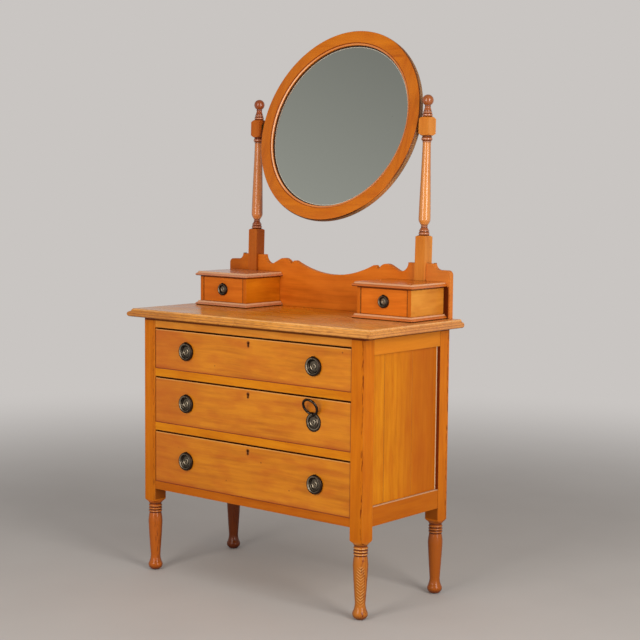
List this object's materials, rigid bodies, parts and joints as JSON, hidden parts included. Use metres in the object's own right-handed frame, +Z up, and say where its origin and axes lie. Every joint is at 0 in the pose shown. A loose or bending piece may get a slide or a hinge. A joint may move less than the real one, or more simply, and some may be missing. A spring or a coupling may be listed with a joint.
{
  "type": "dressing table",
  "caption": "Chest of long drawers on turned legs, with small jewel drawers, a shaped gallery board and a round mirror that swings between turned posts.",
  "frame": {"origin": "on the floor, under the middle of the whole object's box, mirror included", "axes": "+X to the viewer's right when facing the drawers, +Y to the back, +Z up"},
  "size_m": [0.952, 0.5436, 1.6761],
  "materials": {
    "polished_wood": "polished, warm honey",
    "panel_wood": "polished, amber, upright grain",
    "inner_wood": "bare, planed",
    "bronze": "dark bronzed, rubbed bright on the ridges",
    "brass": "dull",
    "mirror_glass": "silvered, bevelled"
  },
  "bodies": {
    "carcase": {"leg_front_left": "polished_wood", "leg_front_right": "polished_wood", "leg_rear_left": "polished_wood", "leg_rear_right": "polished_wood", "top_board": "polished_wood", "front_top_rail": "polished_wood", "drawer_rails": "polished_wood", "front_bottom_rail": "polished_wood", "side_rails": "polished_wood", "side_panels": "panel_wood", "back_rails": "inner_wood", "back_boards": "inner_wood", "drawer_runners": "inner_wood", "drawer_guides": "inner_wood", "gallery_board": "polished_wood", "mirror_post_left": "polished_wood", "mirror_post_right": "polished_wood", "pivot_sockets": "brass", "jewel_left_top": "polished_wood", "jewel_left_base": "polished_wood", "jewel_left_sides": "polished_wood", "jewel_right_top": "polished_wood", "jewel_right_base": "polished_wood", "jewel_right_sides": "polished_wood"},
    "mirror": {"mirror_frame": "polished_wood", "mirror_glass": "mirror_glass", "mirror_backing": "inner_wood", "mirror_pivots": "brass"},
    "top_drawer": {"top_drawer_front": "polished_wood", "top_drawer_sides": "inner_wood", "top_drawer_bottom": "inner_wood", "top_drawer_lock": "brass", "top_drawer_plates": "bronze"},
    "top_drawer_bolt": {"top_drawer_bolt": "brass"},
    "top_drawer_ring_left": {"top_drawer_ring_left": "bronze"},
    "top_drawer_ring_right": {"top_drawer_ring_right": "bronze"},
    "middle_drawer": {"middle_drawer_front": "polished_wood", "middle_drawer_sides": "inner_wood", "middle_drawer_bottom": "inner_wood", "middle_drawer_lock": "brass", "middle_drawer_plates": "bronze"},
    "middle_drawer_bolt": {"middle_drawer_bolt": "brass"},
    "middle_drawer_ring_left": {"middle_drawer_ring_left": "bronze"},
    "middle_drawer_ring_right": {"middle_drawer_ring_right": "bronze"},
    "bottom_drawer": {"bottom_drawer_front": "polished_wood", "bottom_drawer_sides": "inner_wood", "bottom_drawer_bottom": "inner_wood", "bottom_drawer_lock": "brass", "bottom_drawer_plates": "bronze"},
    "bottom_drawer_bolt": {"bottom_drawer_bolt": "brass"},
    "bottom_drawer_ring_left": {"bottom_drawer_ring_left": "bronze"},
    "bottom_drawer_ring_right": {"bottom_drawer_ring_right": "bronze"},
    "jewel_left_drawer": {"jewel_left_drawer_front": "polished_wood", "jewel_left_drawer_box": "inner_wood", "jewel_left_drawer_plate": "bronze"},
    "jewel_left_drawer_ring": {"jewel_left_drawer_ring": "bronze"},
    "jewel_right_drawer": {"jewel_right_drawer_front": "polished_wood", "jewel_right_drawer_box": "inner_wood", "jewel_right_drawer_plate": "bronze"},
    "jewel_right_drawer_ring": {"jewel_right_drawer_ring": "bronze"}
  },
  "joints": [
    {"name": "mirror_tilt", "type": "hinge", "parent": "carcase", "child": "mirror", "pos_m": [0, 0.17266, 1.38338], "axis": [1, 0, 0], "continuous": true},
    {"name": "top_drawer_slide", "type": "slide", "parent": "carcase", "child": "top_drawer", "axis": [0, -1, 0], "range_m": [0, 0.28]},
    {"name": "top_drawer_bolt_slide", "type": "slide", "parent": "top_drawer", "child": "top_drawer_bolt", "axis": [0, 0, 1], "range_m": [0, 0.007]},
    {"name": "top_drawer_ring_left_swing", "type": "hinge", "parent": "top_drawer", "child": "top_drawer_ring_left", "pos_m": [-0.25, -0.24288, 0.7225], "axis": [-1, 0, 0], "range_deg": [0, 160]},
    {"name": "top_drawer_ring_right_swing", "type": "hinge", "parent": "top_drawer", "child": "top_drawer_ring_right", "pos_m": [0.25, -0.24288, 0.7225], "axis": [-1, 0, 0], "range_deg": [0, 160]},
    {"name": "middle_drawer_slide", "type": "slide", "parent": "carcase", "child": "middle_drawer", "axis": [0, -1, 0], "range_m": [0, 0.28]},
    {"name": "middle_drawer_bolt_slide", "type": "slide", "parent": "middle_drawer", "child": "middle_drawer_bolt", "axis": [0, 0, 1], "range_m": [0, 0.007]},
    {"name": "middle_drawer_ring_left_swing", "type": "hinge", "parent": "middle_drawer", "child": "middle_drawer_ring_left", "pos_m": [-0.25, -0.24288, 0.564], "axis": [-1, 0, 0], "range_deg": [0, 160]},
    {"name": "middle_drawer_ring_right_swing", "type": "hinge", "parent": "middle_drawer", "child": "middle_drawer_ring_right", "pos_m": [0.25, -0.24288, 0.564], "axis": [1, 0, 0], "range_deg": [-5, 155]},
    {"name": "bottom_drawer_slide", "type": "slide", "parent": "carcase", "child": "bottom_drawer", "axis": [0, -1, 0], "range_m": [0, 0.28]},
    {"name": "bottom_drawer_bolt_slide", "type": "slide", "parent": "bottom_drawer", "child": "bottom_drawer_bolt", "axis": [0, 0, 1], "range_m": [0, 0.007]},
    {"name": "bottom_drawer_ring_left_swing", "type": "hinge", "parent": "bottom_drawer", "child": "bottom_drawer_ring_left", "pos_m": [-0.25, -0.24288, 0.388], "axis": [-1, 0, 0], "range_deg": [0, 160]},
    {"name": "bottom_drawer_ring_right_swing", "type": "hinge", "parent": "bottom_drawer", "child": "bottom_drawer_ring_right", "pos_m": [0.259, -0.24288, 0.388], "axis": [-1, 0, 0], "range_deg": [0, 160]},
    {"name": "jewel_left_drawer_slide", "type": "slide", "parent": "carcase", "child": "jewel_left_drawer", "axis": [0, -1, 0], "range_m": [0, 0.105]},
    {"name": "jewel_left_drawer_ring_swing", "type": "hinge", "parent": "jewel_left_drawer", "child": "jewel_left_drawer_ring", "pos_m": [-0.3175, -0.01188, 0.887], "axis": [-1, 0, 0], "range_deg": [0, 150]},
    {"name": "jewel_right_drawer_slide", "type": "slide", "parent": "carcase", "child": "jewel_right_drawer", "axis": [0, -1, 0], "range_m": [0, 0.105]},
    {"name": "jewel_right_drawer_ring_swing", "type": "hinge", "parent": "jewel_right_drawer", "child": "jewel_right_drawer_ring", "pos_m": [0.3175, -0.01188, 0.887], "axis": [-1, 0, 0], "range_deg": [0, 150]}
  ]
}
